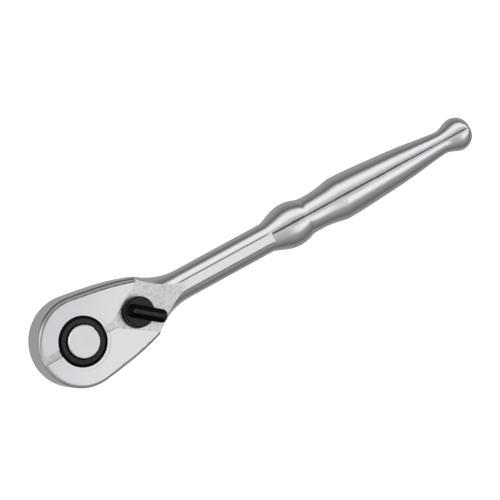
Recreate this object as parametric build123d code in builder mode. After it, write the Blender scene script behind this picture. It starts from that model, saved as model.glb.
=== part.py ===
"""Reversible ratchet wrench, 3/8 inch square drive, pear-shaped head, all-steel handle.

Millimetres.  +X runs along the handle towards its knob, +Z up along the drive axis.
The origin is the centre of the square drive's tip face; the reversing lever and the
release button are on the top face, the square drive points down.
"""

import os
from math import atan, cos, radians, sin, tan

from build123d import *

# ---------------------------------------------------------------- driving dimensions
# Levels along the drive axis
square_length = 10.9
head_bottom = 11.5
head_height = 12.4
head_top = head_bottom + head_height
handle_level = head_bottom + head_height / 2
plate_thickness = 2.0
pocket_floor = head_bottom + plate_thickness
pocket_roof = 20.4
recess_depth = 0.55
recess_level = head_top - recess_depth

# Head outline
head_radius = 15.8
head_edge_round = 1.6
shoulder_x = 25.4
shoulder_half_width = 10.9
web_half_width = 1.35
lever_x = 21.7
lever_ring_radius = 6.0
wedge_angle = 32.0
tail_half_width = 5.8
web_corner_radius = 3.0

# Handle, turned about its own axis
neck_radius = 5.35
neck_flat_height = 5.13
neck_start = 43.0
bulge_start = 77.3
bulge_x = 87.4
bulge_radius = 8.05
crease_x = 91.6
crease_radius = 7.3
waist_x = 96.4
waist_radius = 6.58
grip_x = 107.4
grip_radius = 7.95
throat_x = 151.8
throat_radius = 4.3
knob_x = 158.9
knob_radius = 6.1
handle_end = 164.0

# Drive gear
square_side = 9.5
tooth_count = 36
gear_tip_radius = 11.0
gear_root_radius = 10.05
gear_pocket_radius = 11.45
gear_bottom = 13.65
gear_top = 19.85
boss_radius = 7.0
journal_radius = 8.7
journal_top = head_top + 0.15
journal_bevel = 1.05
bevel_height = 0.55
spot_face_radius = 9.85
spot_face_depth = 0.12
tip_land = 0.06
seal_level = 12.45
seal_depth = 0.75
running_gap = 0.06

# Quick release
button_radius = 5.68
button_top = head_top + 1.4
button_height = 2.6
button_travel = 2.0
button_pocket = 3.8
button_edge = 0.35
spring_well_radius = 3.55
stem_radius = 1.9
stem_bottom = 3.0
spring_seat = 14.5
ball_radius = 1.75
ball_level = 5.0
ball_centre_y = -3.55
ramp_slope = 0.35
ball_gap = 0.05
ball_lip_radius = 1.5

# Pawl and its pivot
pivot_x = 13.4
pivot_radius = 1.1
pawl_rock = 10.0
pawl_bottom = 13.8
pawl_top = 19.45
horn_outer_radius = 13.8
tooth_gap = 0.07
pivot_depth = 1.8

# Reversing lever
lever_angle = -37.0
lever_swing = -2 * lever_angle
lever_stem_radius = 4.0
lever_disc_radius = 5.3
lever_disc_bottom = recess_level + 0.12
lever_disc_top = lever_disc_bottom + 3.0
tab_reach = 9.8
tab_tail = 4.7
tab_width = 4.6
tab_corner = 1.9
tab_wall_top = lever_disc_top + 0.2
tab_ridge_height = 1.8
tab_ridge_taper = 42.0
plunger_level = 17.0
plunger_radius = 1.2
plunger_reach = 5.8
plunger_gap = 0.05
plunger_tail = -0.4
plunger_bore_end = -3.1
pilot_radius = 2.0
seat_depth = 1.3
lever_seal_level = 22.1
clip_level = 19.68
clip_thickness = 0.5
clip_radius = 4.95
sweep_steps = 24

# Cover plate and its screws
plate_radius = 13.4
plate_flank_x = 4.0
plate_shoulder_x = 17.4
plate_half_width = 11.1
plate_end_x = 27.9
plate_end_half_width = 4.2
plate_gap = 0.08
tongue_x = -13.5
tongue_width = 6.8
tongue_height = 0.83
screw_x = 17.3
screw_y = 8.4
screw_head_radius = 2.1
screw_thread_radius = 1.1
screw_depth = 5.2
screw_hole_radius = 1.25
countersink_depth = 1.25
hole_gap = 0.02

handle_axis = Axis((0, 0, handle_level), (1, 0, 0))
side_plane = Plane(origin=(0, 0, handle_level), x_dir=(1, 0, 0), z_dir=(0, -1, 0))
plunger_direction = lever_angle + 180
ball_plane = Plane(origin=(0, 0, ball_level), x_dir=(1, 0, 0), z_dir=(0, -1, 0))
STANDING = (Align.CENTER, Align.CENTER, Align.MIN)


def polar(radius, angle):
    """Point in plan at a radius and an angle in degrees about the drive axis."""
    return (radius * cos(radians(angle)), radius * sin(radians(angle)))


def plunger_plane(reach):
    """Plane square to the plunger's axis, at a reach from the lever's axis."""
    direction = (cos(radians(plunger_direction)), sin(radians(plunger_direction)), 0)
    origin = (lever_x + reach * direction[0], reach * direction[1], plunger_level)
    return Plane(origin=origin, x_dir=(0, 0, 1), z_dir=direction)


def about_pivot(point, angle):
    """A plan point turned about the pawl's pivot by an angle in degrees."""
    dx = point[0] - pivot_x
    dy = point[1]
    turn = radians(angle)
    return (pivot_x + dx * cos(turn) - dy * sin(turn), dx * sin(turn) + dy * cos(turn))


def plate_outline(gap, level):
    """The cover plate's pear outline, drawn in by a gap."""
    with BuildSketch(Plane.XY.offset(level)) as outline:
        Circle(plate_radius)
        with BuildLine():
            Polyline(
                (plate_flank_x, 0), (plate_flank_x, plate_radius - 0.65),
                (plate_shoulder_x, plate_half_width), (plate_end_x, plate_end_half_width),
                (plate_end_x, 0),
            )
            mirror(about=Plane.XZ)
        make_face()
        fillet(outline.vertices().group_by(Axis.X)[-1], 3.0)
        if gap:
            offset(amount=-gap)
    return outline.sketch


def standing_cylinder(radius, height, mode=Mode.ADD):
    """A cylinder that stands on its location."""
    return Cylinder(radius, height, align=STANDING, mode=mode)


def standing_cone(bottom_radius, top_radius, height, mode=Mode.ADD):
    """A cone that stands on its location."""
    return Cone(bottom_radius, top_radius, height, align=STANDING, mode=mode)


# ---------------------------------------------------------------- body: one forging
def head_outline():
    """Pear outline: a round nose, two slightly convex flanks and a tail inside the flare."""
    nose_angle = 82.0
    nose = polar(head_radius, nose_angle)
    shoulder = (shoulder_x, shoulder_half_width)
    tail = (neck_start + 1, tail_half_width)
    with BuildLine() as outline:
        ThreePointArc((-head_radius, 0), polar(head_radius, 131), nose)
        Spline(
            nose, (13.5, 13.9), shoulder,
            tangents=[(1, -1 / tan(radians(nose_angle))), (1, -0.36)],
        )
        Line(shoulder, tail)
        Line(tail, (tail[0], 0))
        mirror(about=Plane.XZ)
    return outline.line


def channel_outline():
    """The sunk area between the two lobes: a web that opens into a wedge past the lever."""
    slope = tan(radians(wedge_angle))
    lever_clearance = lever_ring_radius / cos(radians(wedge_angle))
    corner_x = lever_x - (lever_clearance - web_half_width) / slope
    far_y = web_half_width + (neck_start - corner_x) * slope
    with BuildSketch(Plane.XY.offset(recess_level)) as channel:
        with BuildLine():
            Polyline(
                (-head_radius - 2, 0), (-head_radius - 2, web_half_width),
                (corner_x, web_half_width), (neck_start, far_y), (neck_start, 0),
            )
            mirror(about=Plane.XZ)
        make_face()
        web_corners = channel.vertices().filter_by_position(Axis.X, corner_x - 0.1, corner_x + 0.1)
        fillet(web_corners, web_corner_radius)
    return channel.sketch


with BuildPart() as body:
    # Head: a flat pear with rounded edges
    with BuildSketch(Plane.XY.offset(head_bottom)):
        add(make_face(head_outline().edges()))
    extrude(amount=head_height)
    flat_rims = body.faces().filter_by(Axis.Z).edges()
    fillet(flat_rims.filter_by_position(Axis.X, -head_radius - 1, neck_start), head_edge_round)
    # The head flares down to the round neck
    with BuildSketch(side_plane):
        with BuildLine():
            Polyline(
                (neck_start + 1, 0), (-head_radius - 1, 0), (-head_radius - 1, 22),
                (21.0, 22), (21.0, 17.5),
            )
            Spline(
                (21.0, 17.5), (26.9, 10.95), (31.9, 7.75), (37.0, 5.95), (neck_start, neck_radius),
                tangents=[(1, -1.3), (1, 0)],
            )
            Polyline((neck_start, neck_radius), (neck_start + 1, neck_radius), (neck_start + 1, 0))
        make_face()
    revolve(axis=handle_axis, mode=Mode.INTERSECT)
    # Turned handle: neck, bulge with a crease, waist, grip and knob
    with BuildSketch(side_plane):
        with BuildLine():
            Line((neck_start, 0), (neck_start, neck_radius))
            Line((neck_start, neck_radius), (bulge_start, neck_radius))
            Spline(
                (bulge_start, neck_radius), (82.0, 7.05), (bulge_x, bulge_radius),
                (crease_x, crease_radius), tangents=[(1, 0.28), (1, -0.34)],
            )
            Spline(
                (crease_x, crease_radius), (waist_x, waist_radius), (101.0, 6.84),
                (grip_x, grip_radius), tangents=[(1, -0.48), (1, 0.17)],
            )
            Spline(
                (grip_x, grip_radius), (122.0, 7.2), (138.5, 5.82), (throat_x, throat_radius),
                tangents=[(1, -0.005), (1, -0.08)],
            )
            Spline(
                (throat_x, throat_radius), (155.2, 5.1), (knob_x, knob_radius),
                (162.2, 4.9), (handle_end, 0), tangents=[(1, 0), (0, -1)],
            )
            Line((handle_end, 0), (neck_start, 0))
        make_face()
    revolve(axis=handle_axis)
    # Sunk channel between the lobes on the top face
    add(channel_outline())
    extrude(amount=recess_depth + 1, mode=Mode.SUBTRACT)
    # Flats that run from the head along the neck, above and below
    flat_end = bulge_start + 0.5
    clear_height = bulge_radius + 0.45
    with BuildSketch(side_plane):
        with BuildLine():
            Polyline(
                (shoulder_x + 0.5, recess_level - handle_level), (28.5, recess_level - handle_level),
                (neck_start - 1, neck_flat_height), (flat_end, neck_flat_height),
                (flat_end + 1, clear_height), (shoulder_x + 0.5, clear_height),
                (shoulder_x + 0.5, recess_level - handle_level),
            )
        make_face()
        with BuildLine():
            Polyline(
                (29.5, -head_height / 2), (neck_start - 1, -neck_flat_height),
                (flat_end, -neck_flat_height), (flat_end + 1, -clear_height),
                (29.5, -clear_height), (29.5, -head_height / 2),
            )
        make_face()
    extrude(amount=shoulder_half_width + 2, both=True, mode=Mode.SUBTRACT)
    # Recess for the cover plate
    add(plate_outline(0, pocket_floor - plate_thickness))
    extrude(amount=plate_thickness, mode=Mode.SUBTRACT)
    # Pocket for the gear, the pawl and the lever stem
    with BuildSketch(Plane.XY.offset(pocket_floor)):
        Circle(gear_pocket_radius)
        with BuildLine():
            Polyline(
                (5, 0), (5, 10.7), (11.1, 11.2), (14.5, 8.5), (15.4, 6.4), (19, 5.4), (19, 0),
            )
            mirror(about=Plane.XZ)
        make_face()
        with Locations((lever_x, 0)):
            Circle(clip_radius + 0.45)
    extrude(amount=pocket_roof - pocket_floor, mode=Mode.SUBTRACT)
    # Bores for the gear's upper journal, with a shallow spot face, and for the lever stem
    with Locations((0, 0, pocket_roof)):
        standing_cylinder(journal_radius + running_gap, head_top - pocket_roof + 1, Mode.SUBTRACT)
    with Locations((0, 0, head_top - spot_face_depth)):
        standing_cylinder(spot_face_radius, 1, Mode.SUBTRACT)
    with Locations((lever_x, 0, pocket_roof)):
        standing_cylinder(lever_stem_radius + running_gap, head_top - pocket_roof, Mode.SUBTRACT)
    # Blind hole for the pawl's pivot pin and tapped holes for the screws
    with Locations((pivot_x, 0, pocket_roof)):
        standing_cylinder(pivot_radius + hole_gap, pivot_depth, Mode.SUBTRACT)
    with Locations((screw_x, screw_y, pocket_floor), (screw_x, -screw_y, pocket_floor)):
        standing_cylinder(screw_thread_radius + hole_gap, screw_depth, Mode.SUBTRACT)
    # Undercut that holds the plate's front tongue
    with Locations((tongue_x - 0.1, 0, pocket_floor - tongue_height - 0.12)):
        Box(2.1, tongue_width + 0.3, tongue_height + 0.12, align=STANDING, mode=Mode.SUBTRACT)


# ---------------------------------------------------------------- cover plate and screws
screw_places = [(screw_x, screw_y), (screw_x, -screw_y)]

with BuildPart() as cover_plate:
    add(plate_outline(plate_gap, head_bottom))
    extrude(amount=plate_thickness - hole_gap)
    chamfer(cover_plate.faces().sort_by(Axis.Z)[0].outer_wire().edges(), 0.25)
    with Locations((tongue_x, 0, pocket_floor - tongue_height - hole_gap)):
        Box(2.0, tongue_width, tongue_height, align=STANDING)
    # Bearing hole for the gear's boss
    with Locations((0, 0, head_bottom - 1)):
        standing_cylinder(boss_radius + running_gap, plate_thickness + 2, Mode.SUBTRACT)
    # Blind seats for the pivot pin and for the lever's pilot
    with Locations((pivot_x, 0, pocket_floor - seat_depth)):
        standing_cylinder(pivot_radius + hole_gap, plate_thickness, Mode.SUBTRACT)
    with Locations((lever_x, 0, pocket_floor - seat_depth)):
        standing_cylinder(pilot_radius + running_gap, plate_thickness, Mode.SUBTRACT)
    # Countersunk screw holes
    for place in screw_places:
        with Locations((place[0], place[1], head_bottom)):
            standing_cylinder(screw_hole_radius, plate_thickness, Mode.SUBTRACT)
            standing_cone(
                screw_head_radius + running_gap, screw_hole_radius, countersink_depth,
                Mode.SUBTRACT,
            )

with BuildPart() as cover_screws:
    screw_bottom = head_bottom + 0.05
    for place in screw_places:
        with Locations((place[0], place[1], screw_bottom)):
            standing_cone(screw_head_radius, screw_thread_radius, countersink_depth - 0.1)
            standing_cylinder(screw_thread_radius, plate_thickness + screw_depth - 0.4)
    # Cross recess in each head
    with BuildSketch(Plane.XY.offset(screw_bottom)):
        with Locations(*screw_places):
            Rectangle(2.2, 0.5, rotation=20)
            Rectangle(2.2, 0.5, rotation=110)
    extrude(amount=0.8, mode=Mode.SUBTRACT)


# ---------------------------------------------------------------- drive gear
def tooth_ring(tip_radius, root_radius):
    """Closed polygon of symmetrical ratchet teeth, a tip on the +X axis."""
    pitch = 360 / tooth_count
    corners = []
    for tooth in range(tooth_count):
        corners.append(polar(tip_radius, (tooth - tip_land) * pitch))
        corners.append(polar(tip_radius, (tooth + tip_land) * pitch))
        corners.append(polar(root_radius, (tooth + 0.5) * pitch))
    return corners


with BuildPart() as drive_gear:
    # Square drive with a chamfered tip and eased corners
    with BuildSketch():
        Rectangle(square_side, square_side)
    extrude(amount=square_length)
    chamfer(drive_gear.edges().filter_by(Axis.Z), 0.6)
    chamfer(drive_gear.faces().sort_by(Axis.Z)[0].edges(), 0.9)
    # Boss with a groove for its seal
    with Locations((0, 0, square_length)):
        standing_cylinder(boss_radius, gear_bottom - square_length)
    with BuildSketch(Plane.XY.offset(seal_level - 0.45)):
        Circle(boss_radius + 1)
        Circle(boss_radius - seal_depth, mode=Mode.SUBTRACT)
    extrude(amount=0.9, mode=Mode.SUBTRACT)
    # Teeth
    with BuildSketch(Plane.XY.offset(gear_bottom)):
        with BuildLine():
            Polyline(*tooth_ring(gear_tip_radius, gear_root_radius), close=True)
        make_face()
    extrude(amount=gear_top - gear_bottom)
    # Upper journal, the bevelled ring seen around the button
    with Locations((0, 0, gear_top)):
        standing_cylinder(journal_radius, journal_top - bevel_height - gear_top)
    with Locations((0, 0, journal_top - bevel_height)):
        standing_cone(journal_radius, journal_radius - journal_bevel, bevel_height)
    with Locations((0, 0, journal_top - button_pocket)):
        standing_cylinder(button_radius + running_gap, button_pocket + 1, Mode.SUBTRACT)
    top_rims = drive_gear.faces().sort_by(Axis.Z)[-1].edges()
    chamfer(top_rims.sort_by(SortBy.RADIUS)[0], 0.45)
    # Spring well and stem bore
    stem_bore_bottom = stem_bottom - button_travel - 0.4
    with Locations((0, 0, spring_seat)):
        standing_cylinder(spring_well_radius, head_top - spring_seat, Mode.SUBTRACT)
    with Locations((0, 0, stem_bore_bottom)):
        standing_cylinder(stem_radius + running_gap, spring_seat - stem_bore_bottom + 0.6, Mode.SUBTRACT)
    # Cross hole for the detent ball, with a staked lip at the face
    with BuildSketch(ball_plane):
        Circle(ball_radius + ball_gap)
    extrude(amount=square_side / 2 - 0.2, mode=Mode.SUBTRACT)
    with BuildSketch(ball_plane):
        Circle(ball_lip_radius)
    extrude(amount=square_side / 2 + 1, mode=Mode.SUBTRACT)

with BuildPart() as gear_seal:
    with Locations((0, 0, seal_level)):
        Torus(boss_radius - 0.36, 0.35)

with BuildPart() as drag_washer:
    with BuildSketch(Plane.XY.offset(gear_top + 0.06)):
        Circle(10.4)
        Circle(journal_radius + 0.2, mode=Mode.SUBTRACT)
    extrude(amount=0.4)


# ---------------------------------------------------------------- quick release
def ramp_radius(level):
    """Radius of the stem's ramp, which lets the ball in as the stem is pressed down."""
    contact_level = ball_level - ball_radius * sin(atan(ramp_slope))
    contact_radius = -ball_centre_y - ball_radius * cos(atan(ramp_slope)) - ball_gap
    return contact_radius - ramp_slope * (level - contact_level)


with BuildPart() as release_button:
    ramp_start = ball_level - ball_radius * sin(atan(ramp_slope)) - 0.15
    ramp_end = ramp_start + 2.6
    with BuildSketch(Plane.XZ):
        with BuildLine():
            Polyline(
                (0, stem_bottom), (stem_radius - 0.3, stem_bottom), (stem_radius, stem_bottom + 0.3),
                (stem_radius, ramp_start), (ramp_radius(ramp_start), ramp_start),
                (ramp_radius(ramp_end), ramp_end), (ramp_radius(ramp_end), ramp_end + 1.2),
                (stem_radius, ramp_end + 2.1), (stem_radius, button_top - button_height),
                (button_radius, button_top - button_height), (button_radius, button_top - button_edge),
                (button_radius - button_edge, button_top), (0, button_top), (0, stem_bottom),
            )
        make_face()
    revolve(axis=Axis.Z)

with BuildPart() as button_spring:
    spring_wire = 0.28
    spring_bottom = spring_seat + spring_wire + 0.05
    spring_height = button_top - button_height - spring_seat - 2 * spring_wire - 0.1
    with BuildLine():
        coil = Helix(
            pitch=spring_height / 5, height=spring_height, radius=2.9,
            center=(0, 0, spring_bottom),
        )
    with BuildSketch(Plane(origin=coil @ 0, z_dir=coil % 0)):
        Circle(spring_wire)
    sweep()

with BuildPart() as detent_ball:
    with Locations((0, ball_centre_y, ball_level)):
        Sphere(ball_radius)


# ---------------------------------------------------------------- pawl and its pivot pin
half_rock = radians(pawl_rock / 2)
pawl_mirror = Plane(
    origin=(pivot_x, 0, 0), x_dir=(cos(half_rock), sin(half_rock), 0),
    z_dir=(-sin(half_rock), cos(half_rock), 0),
)


def horn_teeth(first, last):
    """Teeth of the engaged horn: the gear's tooth spaces, drawn in by the mesh gap."""
    pitch = 360 / tooth_count
    corners = []
    for tooth in range(first, last):
        corners.append(polar(gear_tip_radius + tooth_gap, (tooth + tip_land) * pitch))
        corners.append(polar(gear_root_radius + 2 * tooth_gap, (tooth + 0.5) * pitch))
        corners.append(polar(gear_tip_radius + tooth_gap, (tooth + 1 - tip_land) * pitch))
    return corners


with BuildPart() as pawl:
    with BuildSketch(Plane.XY.offset(pawl_bottom)) as pawl_half:
        with BuildLine():
            teeth = horn_teeth(3, 5)
            rim = polar(gear_tip_radius + 0.35, 27)
            Line((pivot_x, -3), (gear_tip_radius + 0.35, -3))
            ThreePointArc((gear_tip_radius + 0.35, -3), polar(gear_tip_radius + 0.35, 10), rim)
            Polyline(rim, *teeth, polar(horn_outer_radius - 1.0, 51), polar(horn_outer_radius, 48))
            RadiusArc(
                polar(horn_outer_radius, 48), polar(horn_outer_radius, 33), -horn_outer_radius,
            )
            Polyline(
                polar(horn_outer_radius, 33), (16.0, 5.6), (18.1, 4.9), (19.0, 3.0), (19.0, -3),
                (pivot_x, -3),
            )
        make_face()
        # Hollow swept by the plunger's tip as the lever turns and the pawl rocks
        for step in range(sweep_steps + 1):
            swing = lever_swing * step / sweep_steps
            rock = pawl_rock * step / sweep_steps
            lever_centre = about_pivot((lever_x, 0), rock)
            turn = plunger_direction + swing + rock
            with Locations(lever_centre):
                Circle(lever_stem_radius + 0.3, mode=Mode.SUBTRACT)
            with Locations(Location((lever_centre[0], lever_centre[1], 0), (0, 0, turn))):
                Rectangle(
                    plunger_reach - plunger_radius, 2 * (plunger_radius + plunger_gap),
                    align=(Align.MIN, Align.CENTER), mode=Mode.SUBTRACT,
                )
                with Locations((plunger_reach - plunger_radius, 0)):
                    Circle(plunger_radius + plunger_gap, mode=Mode.SUBTRACT)
        split(bisect_by=pawl_mirror, keep=Keep.TOP)
        mirror(about=pawl_mirror)
        with Locations((pivot_x, 0)):
            Circle(pivot_radius + 0.05, mode=Mode.SUBTRACT)
    extrude(amount=pawl_top - pawl_bottom)

with BuildPart() as pawl_pivot_pin:
    with Locations((pivot_x, 0, pocket_floor - seat_depth + 0.1)):
        standing_cylinder(pivot_radius, pocket_roof - pocket_floor + seat_depth + pivot_depth - 0.2)
    chamfer(pawl_pivot_pin.edges(), 0.2)


# ---------------------------------------------------------------- reversing lever
lever_turn = radians(lever_angle)
lever_frame = Plane(
    origin=(lever_x, 0, 0), x_dir=(cos(lever_turn), sin(lever_turn), 0), z_dir=(0, 0, 1),
)

with BuildPart() as reversing_lever:
    with BuildSketch(Plane(origin=(lever_x, 0, lever_disc_bottom), z_dir=(0, 0, 1))):
        Circle(lever_disc_radius)
    extrude(amount=lever_disc_top - lever_disc_bottom)
    chamfer(reversing_lever.edges().group_by(Axis.Z)[-1], 0.35)
    # Thumb tab: a ridged bar across the disc that overhangs one side
    with BuildSketch(lever_frame.offset(lever_disc_bottom + 0.5)):
        with Locations(((tab_reach - tab_tail) / 2, 0)):
            RectangleRounded(tab_reach + tab_tail, tab_width, tab_corner)
    extrude(amount=tab_wall_top - lever_disc_bottom - 0.5)
    with BuildSketch(lever_frame.offset(tab_wall_top)):
        with Locations(((tab_reach - tab_tail) / 2, 0)):
            RectangleRounded(tab_reach + tab_tail, tab_width, tab_corner)
    extrude(amount=tab_ridge_height, taper=tab_ridge_taper)
    fillet(reversing_lever.faces().sort_by(Axis.Z)[-1].edges(), 0.45)
    # Stem and lower pilot
    with Locations((lever_x, 0, pocket_floor + 0.1)):
        standing_cylinder(lever_stem_radius, lever_disc_bottom - pocket_floor)
    with Locations((lever_x, 0, pocket_floor - seat_depth + 0.1)):
        standing_cylinder(pilot_radius, seat_depth + 1)
    # Grooves for the seal and for the retaining clip
    with BuildSketch(Plane.XY.offset(lever_seal_level - 0.45)):
        with Locations((lever_x, 0)):
            Circle(lever_stem_radius + 1)
            Circle(lever_stem_radius - 0.88, mode=Mode.SUBTRACT)
    extrude(amount=0.9, mode=Mode.SUBTRACT)
    with BuildSketch(Plane.XY.offset(clip_level)):
        with Locations((lever_x, 0)):
            Circle(lever_stem_radius + 1)
            Circle(lever_stem_radius - 0.5, mode=Mode.SUBTRACT)
    extrude(amount=clip_thickness + 0.06, mode=Mode.SUBTRACT)
    # Cross bore for the plunger and its spring, opposite the tab
    with BuildSketch(plunger_plane(plunger_bore_end)):
        Circle(plunger_radius + running_gap)
    extrude(amount=lever_stem_radius + 1 - plunger_bore_end, mode=Mode.SUBTRACT)

with BuildPart() as lever_seal:
    with Locations((lever_x, 0, lever_seal_level)):
        Torus(lever_stem_radius - 0.42, 0.43)

with BuildPart() as lever_clip:
    with BuildSketch(Plane.XY.offset(clip_level + 0.03)):
        with Locations((lever_x, 0)):
            Circle(clip_radius)
            Circle(lever_stem_radius - 0.46, mode=Mode.SUBTRACT)
        with Locations((lever_x + 4, 0)):
            Rectangle(6, 2.4, mode=Mode.SUBTRACT)
    extrude(amount=clip_thickness)

with BuildPart() as lever_plunger:
    with BuildSketch(plunger_plane(plunger_tail)):
        Circle(plunger_radius)
    extrude(amount=plunger_reach - plunger_tail)
    fillet(lever_plunger.edges().sort_by(Axis.X)[0], plunger_radius - 0.02)

with BuildPart() as plunger_spring:
    plunger_wire = 0.16
    coil_length = plunger_tail - plunger_bore_end - 2 * plunger_wire - 0.12
    with BuildLine():
        plunger_coil = Helix(
            pitch=coil_length / 4, height=coil_length, radius=0.85,
            center=plunger_plane(plunger_bore_end + plunger_wire + 0.06).origin,
            direction=plunger_plane(0).z_dir,
        )
    with BuildSketch(Plane(origin=plunger_coil @ 0, z_dir=plunger_coil % 0)):
        Circle(plunger_wire)
    sweep()


# ---------------------------------------------------------------- export
os.makedirs("parts", exist_ok=True)
pieces = {
    "body": body,
    "cover_plate": cover_plate,
    "cover_screws": cover_screws,
    "drive_gear": drive_gear,
    "gear_seal": gear_seal,
    "drag_washer": drag_washer,
    "release_button": release_button,
    "button_spring": button_spring,
    "detent_ball": detent_ball,
    "pawl": pawl,
    "pawl_pivot_pin": pawl_pivot_pin,
    "reversing_lever": reversing_lever,
    "lever_seal": lever_seal,
    "lever_clip": lever_clip,
    "lever_plunger": lever_plunger,
    "plunger_spring": plunger_spring,
}
for name, piece in pieces.items():
    piece.part.label = name
    export_step(piece.part, f"parts/{name}.step")
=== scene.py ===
"""Looks of the 3/8 inch ratchet wrench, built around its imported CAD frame.

Metres, Z up, +X along the handle. The reversing lever and the release button face up.
"""

import math

import bmesh
import bpy
from mathutils import Matrix, Vector


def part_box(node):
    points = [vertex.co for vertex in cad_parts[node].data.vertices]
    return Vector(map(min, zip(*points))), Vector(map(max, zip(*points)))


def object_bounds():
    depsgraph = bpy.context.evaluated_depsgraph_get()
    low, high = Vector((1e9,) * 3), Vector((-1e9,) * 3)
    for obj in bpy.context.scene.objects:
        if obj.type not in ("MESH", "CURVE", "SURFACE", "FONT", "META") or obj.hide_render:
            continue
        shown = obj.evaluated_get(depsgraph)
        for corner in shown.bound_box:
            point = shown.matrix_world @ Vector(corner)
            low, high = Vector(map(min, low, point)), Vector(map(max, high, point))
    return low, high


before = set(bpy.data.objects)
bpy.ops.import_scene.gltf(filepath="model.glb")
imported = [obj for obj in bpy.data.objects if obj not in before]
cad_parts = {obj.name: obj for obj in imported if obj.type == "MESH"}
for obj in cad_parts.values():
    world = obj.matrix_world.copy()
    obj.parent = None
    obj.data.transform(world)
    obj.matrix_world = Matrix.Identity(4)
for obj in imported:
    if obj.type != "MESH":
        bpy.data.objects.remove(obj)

MM = 0.001
cad_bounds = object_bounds()

RING_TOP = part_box("drive_gear")[1][2]
HEAD_TOP = RING_TOP - 0.15 * MM
CHANNEL_FLOOR = HEAD_TOP - 0.55 * MM
NECK_END = 77.8 * MM
LEVER_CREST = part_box("reversing_lever")[1][2]
LEVER_DISC_TOP = LEVER_CREST - 2.0 * MM
LEVER_X = 21.7 * MM
BUTTON_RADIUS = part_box("release_button")[1][0]


# ---------------------------------------------------------------- node helpers
def add_node(tree, kind, values=None, **settings):
    """A new node with its settings, its input values and its input links."""
    made = tree.nodes.new(kind)
    for name, setting in settings.items():
        setattr(made, name, setting)
    for socket, value in (values or {}).items():
        if isinstance(value, bpy.types.NodeSocket):
            tree.links.new(value, made.inputs[socket])
        else:
            made.inputs[socket].default_value = value
    return made


def arithmetic(tree, operation, first, second=0.0):
    """The result of one Math node."""
    return add_node(tree, "ShaderNodeMath", {0: first, 1: second}, operation=operation).outputs[0]


def step_up(tree, value, start, end):
    """A smooth step from 0 at start to 1 at end."""
    return add_node(
        tree, "ShaderNodeMapRange", {"Value": value, "From Min": start, "From Max": end},
        interpolation_type="SMOOTHSTEP",
    ).outputs["Result"]


def window(tree, value, low, high, soft):
    """1 between low and high, 0 outside, with a soft edge on both sides."""
    above = step_up(tree, value, low - soft, low + soft)
    below = step_up(tree, value, high + soft, high - soft)
    return arithmetic(tree, "MULTIPLY", above, below)


def blend_values(tree, factor, first, second):
    """A number that goes from first to second as factor goes from 0 to 1."""
    mix = add_node(tree, "ShaderNodeMix", {0: factor, 2: first, 3: second}, data_type="FLOAT")
    return mix.outputs[0]


def blend_colours(tree, factor, first, second):
    """A colour that goes from first to second as factor goes from 0 to 1."""
    mix = add_node(tree, "ShaderNodeMix", {0: factor, 6: first, 7: second}, data_type="RGBA")
    return mix.outputs[2]


def grey(level):
    """An opaque neutral colour."""
    return (level, level, level, 1.0)


def ramp(tree, factor, stops, interpolation="LINEAR"):
    """A colour ramp through (position, level or colour) stops."""
    made = add_node(tree, "ShaderNodeValToRGB", {"Fac": factor})
    made.color_ramp.interpolation = interpolation
    elements = made.color_ramp.elements
    while len(elements) < len(stops):
        elements.new(1.0)
    for element, (position, colour) in zip(elements, stops):
        element.position = position
        element.color = colour if isinstance(colour, tuple) else grey(colour)
    return made.outputs["Color"]


def noise(tree, vector, scale, detail=3.0, roughness=0.5):
    """A noise value around 0.5; scale is in features per metre."""
    return add_node(
        tree, "ShaderNodeTexNoise",
        {"Vector": vector, "Scale": scale, "Detail": detail, "Roughness": roughness},
    ).outputs["Fac"]


def stretched(tree, vector, scale):
    """Coordinates stretched by a factor on each axis."""
    return add_node(tree, "ShaderNodeMapping", {"Vector": vector, "Scale": scale}).outputs["Vector"]


def bump(tree, height, strength, distance):
    """A bumped normal from a height between 0 and 1; distance in metres."""
    return add_node(
        tree, "ShaderNodeBump", {"Height": height, "Strength": strength, "Distance": distance}
    ).outputs["Normal"]


def new_material(name):
    """A material with an empty Principled shader: (material, tree, shader, object coordinates)."""
    material = bpy.data.materials.new(name)
    material.use_nodes = True
    tree = material.node_tree
    tree.nodes.clear()
    shader = tree.nodes.new("ShaderNodeBsdfPrincipled")
    output = tree.nodes.new("ShaderNodeOutputMaterial")
    tree.links.new(shader.outputs["BSDF"], output.inputs["Surface"])
    place = tree.nodes.new("ShaderNodeTexCoord")
    return material, tree, shader, place


def set_values(shader, **values):
    """Uniform values set straight on the shader's sockets; _ stands for a space."""
    for name, value in values.items():
        shader.inputs[name.replace("_", " ")].default_value = value


# ---------------------------------------------------------------- materials
def product(tree, *factors):
    """All the factors multiplied together."""
    result = factors[0]
    for factor in factors[1:]:
        result = arithmetic(tree, "MULTIPLY", result, factor)
    return result


def neck_edge_shade(tree, x, y, z):
    """Painted shade: dark lines along both edges of the neck's flat, stronger on the +Y side."""
    beside_flat = window(tree, arithmetic(tree, "ABSOLUTE", y), 1.55 * MM, 1.95 * MM, 0.1 * MM)
    along_neck = window(tree, x, 40 * MM, NECK_END - 1.5 * MM, 1.5 * MM)
    on_top = step_up(tree, z, HEAD_TOP - 2 * MM, HEAD_TOP - 1.5 * MM)
    strength = blend_values(tree, step_up(tree, y, 0, 1 * MM), 0.4, 0.75)
    return product(tree, beside_flat, along_neck, on_top, strength)


def lever_arc_shade(tree, x, y):
    """Painted shade: a dark arc on the channel's floor, on the nose side of the lever's disc."""
    from_lever = arithmetic(tree, "SUBTRACT", x, LEVER_X)
    squares = arithmetic(
        tree, "ADD", product(tree, from_lever, from_lever), product(tree, y, y),
    )
    reach = arithmetic(tree, "SQRT", squares)
    ring = window(tree, reach, 5.2 * MM, 5.65 * MM, 0.08 * MM)
    nose_side = step_up(tree, arithmetic(tree, "ADD", from_lever, y), 1 * MM, -1 * MM)
    return product(tree, ring, nose_side)


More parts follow.
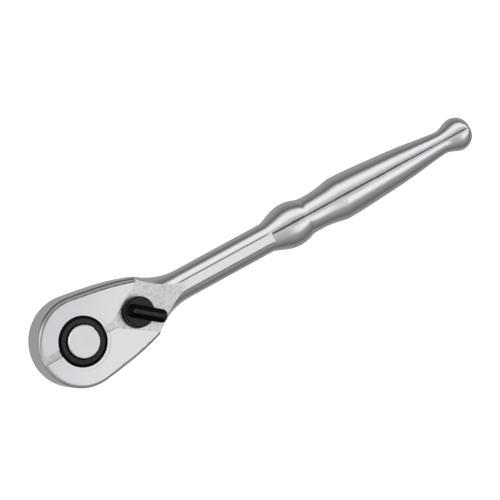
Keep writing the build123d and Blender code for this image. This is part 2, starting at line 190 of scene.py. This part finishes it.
def rim_finish_and_shade(tree, normal, x, z):
    """The head's top rounding, and the share of it that faces +Y and gets painted shade: (linished,
    painted shade).
    """
    squared = product(tree, normal.outputs["Z"], normal.outputs["Z"])
    tilt = arithmetic(tree, "SQRT", arithmetic(tree, "SUBTRACT", 1.0, squared))
    sideways = arithmetic(tree, "DIVIDE", normal.outputs["Y"], arithmetic(tree, "MAXIMUM", tilt, 0.01))
    rounding = window(tree, normal.outputs["Z"], 0.3, 0.975, 0.1)
    top_rim = step_up(tree, z, HEAD_TOP - 2 * MM, HEAD_TOP - 1.6 * MM)
    on_head = step_up(tree, x, 30 * MM, 26 * MM)
    linished = product(tree, rounding, top_rim, on_head)
    # Painted shade: the rounding is coloured dark grey where it faces +Y.
    rim_side_shade = product(tree, linished, step_up(tree, sideways, 0.6, 0.88))
    return linished, rim_side_shade


def grit_and_shade_colour(tree, spot, x):
    """Flecks of brighter and darker grit, with painted shade that makes the channel greyer at the nose."""
    flecks = noise(tree, spot, 1100.0, 5.0, 0.75)
    shaded_nose_grit = ramp(tree, flecks, [
        (0.32, (0.48, 0.48, 0.50, 1.0)), (0.44, (0.69, 0.69, 0.715, 1.0)),
        (0.56, (0.78, 0.78, 0.80, 1.0)), (0.64, (0.90, 0.90, 0.91, 1.0)),
    ])
    lit_wedge_grit = ramp(tree, flecks, [
        (0.32, (0.54, 0.54, 0.56, 1.0)), (0.44, (0.82, 0.82, 0.845, 1.0)),
        (0.56, (0.93, 0.93, 0.95, 1.0)), (0.64, (0.98, 0.98, 0.99, 1.0)),
    ])
    return blend_colours(tree, step_up(tree, x, 0, 12 * MM), shaded_nose_grit, lit_wedge_grit)


def satin_and_shade_colour(tree, grain, x, y):
    """Brushed steel grain, with painted shade that makes it greyer at the nose and on the +Y lobe than
    towards the neck.
    """
    shaded_nose_satin = ramp(tree, grain, [(0.3, (0.77, 0.765, 0.80, 1.0)), (0.7, (0.83, 0.825, 0.865, 1.0))])
    lit_neck_satin = ramp(tree, grain, [(0.3, (0.89, 0.885, 0.92, 1.0)), (0.7, (0.95, 0.945, 0.98, 1.0))])
    across = arithmetic(tree, "SUBTRACT", x, y)
    return blend_colours(tree, step_up(tree, across, -20 * MM, 18 * MM), shaded_nose_satin, lit_neck_satin)


def chrome_relief(tree, spot, grain, satin, blasted):
    """Blasted pits, a satin grain and a trace of polishing waviness."""
    pits = noise(tree, spot, 3200.0, 3.0, 0.7)
    relief = arithmetic(
        tree, "ADD", product(tree, pits, blasted), product(tree, grain, satin, 0.12),
    )
    fine = bump(tree, relief, 0.9, 0.035 * MM)
    waves = add_node(
        tree, "ShaderNodeBump",
        {"Height": noise(tree, spot, 90.0, 2.0), "Strength": 0.25, "Distance": 0.02 * MM, "Normal": fine},
    )
    return waves.outputs["Normal"]


def chrome_body():
    """Mirror chrome, with satin lobes and neck flat on the top face and a blasted channel."""
    material, tree, shader, place = new_material("chrome_body")
    spot = place.outputs["Object"]
    axes = add_node(tree, "ShaderNodeSeparateXYZ", {"Vector": spot})
    normal = add_node(tree, "ShaderNodeSeparateXYZ", {"Vector": place.outputs["Normal"]})
    x, y, z = axes.outputs["X"], axes.outputs["Y"], axes.outputs["Z"]
    facing_up = step_up(tree, normal.outputs["Z"], 0.985, 0.995)
    lobe_level = step_up(tree, z, HEAD_TOP - 0.2 * MM, HEAD_TOP - 0.17 * MM)
    sunk_level = window(tree, z, HEAD_TOP - 1.2 * MM, HEAD_TOP - 0.45 * MM, 0.02 * MM)
    before_bulge = step_up(tree, x, NECK_END + 0.1 * MM, NECK_END)
    sunk = product(tree, facing_up, sunk_level, before_bulge)
    beyond_wedge = step_up(tree, x, 38 * MM, 46 * MM)
    blasted = product(tree, sunk, arithmetic(tree, "SUBTRACT", 1.0, beyond_wedge))
    satin = arithmetic(
        tree, "ADD", product(tree, facing_up, lobe_level), product(tree, sunk, beyond_wedge),
    )
    # Painted shade: the upright step walls between the channel floor and the lobes are coloured near
    # black.
    upright = step_up(tree, arithmetic(tree, "ABSOLUTE", normal.outputs["Z"]), 0.3, 0.1)
    stepped = window(tree, z, CHANNEL_FLOOR + 0.02 * MM, HEAD_TOP - 0.02 * MM, 0.02 * MM)
    step_wall_shade = product(tree, upright, stepped)
    # Painted shade: the dark arc beside the lever's disc, kept to the channel floor.
    arc_shade_on_floor = product(tree, lever_arc_shade(tree, x, y), sunk)
    # Painted shade: the neck flat's edge lines and the lever's arc, taken together.
    painted_line_shade = arithmetic(tree, "MAXIMUM", neck_edge_shade(tree, x, y, z), arc_shade_on_floor)
    linished, rim_side_shade = rim_finish_and_shade(tree, normal, x, z)
    # Colour: mirror, then satin and blasted with painted shade towards the nose, painted shade on the
    # head's rounding where it faces +Y, and painted shade on the step walls, the neck flat's edges and the
    # lever's arc over it
    grain = noise(tree, stretched(tree, spot, (1.0, 6.0, 1.0)), 900.0, 5.0, 0.7)
    mirror = (0.86, 0.868, 0.90, 1.0)
    colour = blend_colours(tree, satin, mirror, satin_and_shade_colour(tree, grain, x, y))
    colour = blend_colours(tree, blasted, colour, grit_and_shade_colour(tree, spot, x))
    colour = blend_colours(tree, rim_side_shade, colour, (0.34, 0.345, 0.36, 1.0))
    colour = blend_colours(tree, step_wall_shade, colour, (0.10, 0.10, 0.105, 1.0))
    colour = blend_colours(tree, painted_line_shade, colour, (0.06, 0.06, 0.065, 1.0))
    tree.links.new(colour, shader.inputs["Base Color"])
    # Gloss: faint polishing haze on the mirror
    haze = noise(tree, stretched(tree, spot, (3.0, 1.0, 1.0)), 220.0, 5.0, 0.6)
    polished = arithmetic(tree, "ADD", 0.012, arithmetic(tree, "MULTIPLY", haze, 0.045))
    rough = blend_values(tree, satin, polished, 0.27)
    rough = blend_values(tree, blasted, rough, 0.42)
    rough = blend_values(tree, linished, rough, 0.26)
    tree.links.new(rough, shader.inputs["Roughness"])
    relief = chrome_relief(tree, spot, grain, satin, blasted)
    tree.links.new(relief, shader.inputs["Normal"])
    set_values(shader, Metallic=1.0)
    return material


def steel(name, colour, roughness, grain_scale, grain_bump):
    """Bright or dark steel with a fine grain in its colour, gloss and relief."""
    material, tree, shader, place = new_material(name)
    spot = place.outputs["Object"]
    grain = noise(tree, spot, grain_scale, 3.0, 0.6)
    worn = noise(tree, spot, 300.0, 4.0, 0.6)
    shade = arithmetic(tree, "MULTIPLY", arithmetic(tree, "ADD", grain, worn), 0.5)
    dark = tuple(channel * 0.9 for channel in colour) + (1.0,)
    tree.links.new(ramp(tree, shade, [(0.35, dark), (0.65, colour + (1.0,))]), shader.inputs["Base Color"])
    rough = arithmetic(tree, "ADD", roughness - 0.06, arithmetic(tree, "MULTIPLY", shade, 0.12))
    tree.links.new(rough, shader.inputs["Roughness"])
    tree.links.new(bump(tree, grain, 0.4, grain_bump), shader.inputs["Normal"])
    set_values(shader, Metallic=1.0)
    return material


def turned_steel(name, colour, roughness, rim_radius):
    """Steel faced on a lathe: fine rings round the drive axis, and a painted highlight that whitens the
    outer edge of the face.
    """
    material, tree, shader, place = new_material(name)
    spot = place.outputs["Object"]
    axes = add_node(tree, "ShaderNodeSeparateXYZ", {"Vector": spot})
    across = arithmetic(tree, "POWER", axes.outputs["X"], 2.0)
    along = arithmetic(tree, "POWER", axes.outputs["Y"], 2.0)
    radius = arithmetic(tree, "SQRT", arithmetic(tree, "ADD", across, along))
    rings = add_node(
        tree, "ShaderNodeTexNoise", {"W": radius, "Scale": 6000.0, "Detail": 3.0}, noise_dimensions="1D",
    ).outputs["Fac"]
    smudge = noise(tree, spot, 260.0, 4.0, 0.6)
    shade = arithmetic(tree, "MULTIPLY", arithmetic(tree, "ADD", rings, smudge), 0.5)
    dark = tuple(channel * 0.93 for channel in colour) + (1.0,)
    faced = ramp(tree, shade, [(0.35, dark), (0.65, colour + (1.0,))])
    # Painted highlight: the outer edge of the face is coloured white.
    rim_highlight = step_up(tree, radius, rim_radius, rim_radius + 0.1 * MM)
    tree.links.new(blend_colours(tree, rim_highlight, faced, grey(1.0)), shader.inputs["Base Color"])
    rough = arithmetic(tree, "ADD", roughness - 0.05, arithmetic(tree, "MULTIPLY", shade, 0.1))
    tree.links.new(rough, shader.inputs["Roughness"])
    tree.links.new(bump(tree, rings, 0.25, 0.006 * MM), shader.inputs["Normal"])
    set_values(shader, Metallic=1.0)
    return material


def black_finish(name, level, roughness, tint=(1.0, 1.0, 1.0), painted_highlights=()):
    """Black oxide, moulding or rubber, with a faint mottled sheen.

    Each (low, high, level) entry of the last argument is a painted highlight: it greys the upward faces
    between two heights.
    """
    material, tree, shader, place = new_material(name)
    spot = place.outputs["Object"]
    height = add_node(tree, "ShaderNodeSeparateXYZ", {"Vector": spot}).outputs["Z"]
    normal = add_node(tree, "ShaderNodeSeparateXYZ", {"Vector": place.outputs["Normal"]})
    facing_up = step_up(tree, normal.outputs["Z"], 0.9, 0.96)
    mottle = noise(tree, spot, 900.0, 4.0, 0.6)

    def mottled(centre):
        deep = tuple(centre * 0.75 * channel for channel in tint) + (1.0,)
        pale = tuple(centre * 1.25 * channel for channel in tint) + (1.0,)
        return ramp(tree, mottle, [(0.3, deep), (0.7, pale)])

    colour = mottled(level)
    # Painted highlights: upward faces between the given heights are coloured lighter.
    for low, high, highlight_level in painted_highlights:
        highlight_patch = arithmetic(tree, "MULTIPLY", facing_up, window(tree, height, low, high, 0.01 * MM))
        colour = blend_colours(tree, highlight_patch, colour, mottled(highlight_level))
    tree.links.new(colour, shader.inputs["Base Color"])
    rough = arithmetic(tree, "ADD", roughness - 0.05, arithmetic(tree, "MULTIPLY", mottle, 0.1))
    tree.links.new(rough, shader.inputs["Roughness"])
    tree.links.new(bump(tree, noise(tree, spot, 6000.0), 0.3, 0.006 * MM), shader.inputs["Normal"])
    set_values(shader, Specular_IOR_Level=0.08)
    return material


chrome = chrome_body()
bright = steel("bright_steel", (0.86, 0.865, 0.885), 0.2, 4000.0, 0.004 * MM)
button_steel = turned_steel("button_steel", (0.86, 0.86, 0.865), 0.24, BUTTON_RADIUS - 0.55 * MM)
ball_steel = steel("ball_steel", (0.84, 0.845, 0.86), 0.1, 2500.0, 0.001 * MM)
spring_steel = steel("spring_steel", (0.62, 0.62, 0.64), 0.3, 5000.0, 0.004 * MM)
screw_steel = steel("screw_steel", (0.70, 0.70, 0.72), 0.28, 4000.0, 0.006 * MM)
tool_steel = steel("tool_steel", (0.5, 0.5, 0.52), 0.32, 3000.0, 0.006 * MM)
# Painted highlight on the gear ring's flat top.
oxide = black_finish(
    "black_oxide", 0.002, 0.24, (1.0, 0.92, 0.9),
    [(RING_TOP - 0.03 * MM, RING_TOP + 0.1 * MM, 0.05)],
)
# Painted highlights on the lever disc's top and along the tab's crest.
moulding = black_finish(
    "black_lever", 0.002, 0.22, (1.0, 1.0, 1.06),
    [(LEVER_DISC_TOP - 0.05 * MM, LEVER_DISC_TOP + 0.05 * MM, 0.042),
     (LEVER_CREST - 0.03 * MM, LEVER_CREST + 0.1 * MM, 0.05)],
)
rubber = black_finish("seal_rubber", 0.02, 0.6)

finishes = {
    "body": chrome,
    "cover_plate": bright,
    "cover_screws": screw_steel,
    "drive_gear": oxide,
    "gear_seal": rubber,
    "lever_seal": rubber,
    "drag_washer": spring_steel,
    "lever_clip": spring_steel,
    "button_spring": spring_steel,
    "plunger_spring": spring_steel,
    "release_button": button_steel,
    "detent_ball": ball_steel,
    "pawl": tool_steel,
    "pawl_pivot_pin": tool_steel,
    "lever_plunger": tool_steel,
    "reversing_lever": moulding,
}
for node_name, finish in finishes.items():
    for material_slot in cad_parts[node_name].material_slots:
        material_slot.material = finish


# ---------------------------------------------------------------- studio
FLOOR_GLOW = 0.85
CEILING_LIGHT = 0.6
WALL_LIGHT = 0.15
TABLE_LIGHT = 0.35
GAP_LIGHT = 0.03
PANEL_LIGHT = 0.95
FLOOR_SIZE = 12.0
BACKDROP_RADIUS = 5.8


def studio_world():
    """Plain soft light: a pale ceiling, grey walls and table, and two long white panels.

    The panels hang overhead along the wrench, one leaning to each side of it, with a dim gap
    between them. The one towards -Y fades out past the nose.
    """
    world = bpy.data.worlds.new("studio")
    bpy.context.scene.world = world
    world.use_nodes = True
    tree = world.node_tree
    tree.nodes.clear()
    direction = add_node(tree, "ShaderNodeTexCoord").outputs["Generated"]
    axes = add_node(tree, "ShaderNodeSeparateXYZ", {"Vector": direction})
    lean = arithmetic(tree, "ARCTAN2", axes.outputs["Y"], axes.outputs["Z"])
    lean = arithmetic(tree, "DEGREES", lean)
    from_overhead = arithmetic(tree, "DIVIDE", arithmetic(tree, "ABSOLUTE", lean), 180)
    room = ramp(tree, from_overhead, [
        (0.0, CEILING_LIGHT), (0.5, WALL_LIGHT), (0.75, TABLE_LIGHT), (1.0, TABLE_LIGHT),
    ])
    left_panel = window(tree, lean, 35, 75, 15)
    right_panel = window(tree, lean, -40, -5, 12)
    over_handle = step_up(tree, axes.outputs["X"], -0.4, 0.4)
    right_panel = arithmetic(tree, "MULTIPLY", right_panel, over_handle)
    light = blend_colours(tree, left_panel, room, grey(PANEL_LIGHT))
    light = blend_colours(tree, right_panel, light, grey(PANEL_LIGHT))
    light = blend_colours(tree, window(tree, lean, 8, 18, 5), light, grey(GAP_LIGHT))
    background = add_node(tree, "ShaderNodeBackground", {"Color": light, "Strength": 1.0})
    add_node(tree, "ShaderNodeOutputWorld", {"Surface": background.outputs["Background"]})


def stage_plane(name, size, level):
    """A square of the stage."""
    mesh = bpy.data.meshes.new(name)
    half = size / 2
    mesh.from_pydata(
        [(-half, -half, level), (half, -half, level), (half, half, level), (-half, half, level)],
        [], [(0, 1, 2, 3)],
    )
    made = bpy.data.objects.new(name, mesh)
    bpy.context.scene.collection.objects.link(made)
    return made


def pale_floor():
    """A plain white table, softly shaded, that the polished steel doesn't mirror."""
    floor = stage_plane("floor", FLOOR_SIZE, cad_bounds[0][2])
    material, _, shader, _ = new_material("floor_white")
    set_values(shader, Base_Color=grey(0.93), Roughness=0.9, Specular_IOR_Level=0.0)
    set_values(shader, Emission_Color=grey(1.0), Emission_Strength=FLOOR_GLOW)
    floor.data.materials.append(material)
    floor.visible_glossy = False
    floor.visible_diffuse = False


def white_backdrop():
    """A wide white dome that only the camera sees."""
    dome = bmesh.new()
    bmesh.ops.create_icosphere(dome, subdivisions=4, radius=BACKDROP_RADIUS)
    mesh = bpy.data.meshes.new("backdrop")
    dome.to_mesh(mesh)
    dome.free()
    backdrop = bpy.data.objects.new("backdrop", mesh)
    bpy.context.scene.collection.objects.link(backdrop)
    material, _, shader, _ = new_material("backdrop_white")
    set_values(shader, Base_Color=grey(0.0), Specular_IOR_Level=0.0)
    set_values(shader, Emission_Color=grey(1.0), Emission_Strength=1.0)
    mesh.materials.append(material)
    backdrop.visible_glossy = False
    backdrop.visible_diffuse = False
    backdrop.visible_transmission = False
    backdrop.visible_shadow = False


def studio_camera():
    """The camera, from a tilt off vertical, a bearing, a roll and a distance."""
    tilt = math.radians(22.0)
    bearing = math.radians(153.5)
    roll = math.radians(-25.2)
    distance = 1.0
    focal_pixels = 2899.0
    image_pixels = 500
    target = Vector((0.06984, -0.00099, 0.0177))
    out = Vector((math.sin(tilt) * math.cos(bearing), math.sin(tilt) * math.sin(bearing), math.cos(tilt)))
    level = Vector((0, 1, 0)).cross(out).normalized()
    rise = out.cross(level)
    right = math.cos(roll) * level + math.sin(roll) * rise
    up = out.cross(right)
    data = bpy.data.cameras.new("camera")
    data.sensor_width = 36.0
    data.lens = focal_pixels * data.sensor_width / image_pixels
    data.clip_end = 50.0
    camera = bpy.data.objects.new("camera", data)
    turn = Matrix((right, up, out)).transposed()
    camera.matrix_world = Matrix.Translation(target + distance * out) @ turn.to_4x4()
    bpy.context.scene.collection.objects.link(camera)
    bpy.context.scene.camera = camera


studio_world()
pale_floor()
white_backdrop()
studio_camera()
bpy.context.scene.view_settings.view_transform = "Standard"
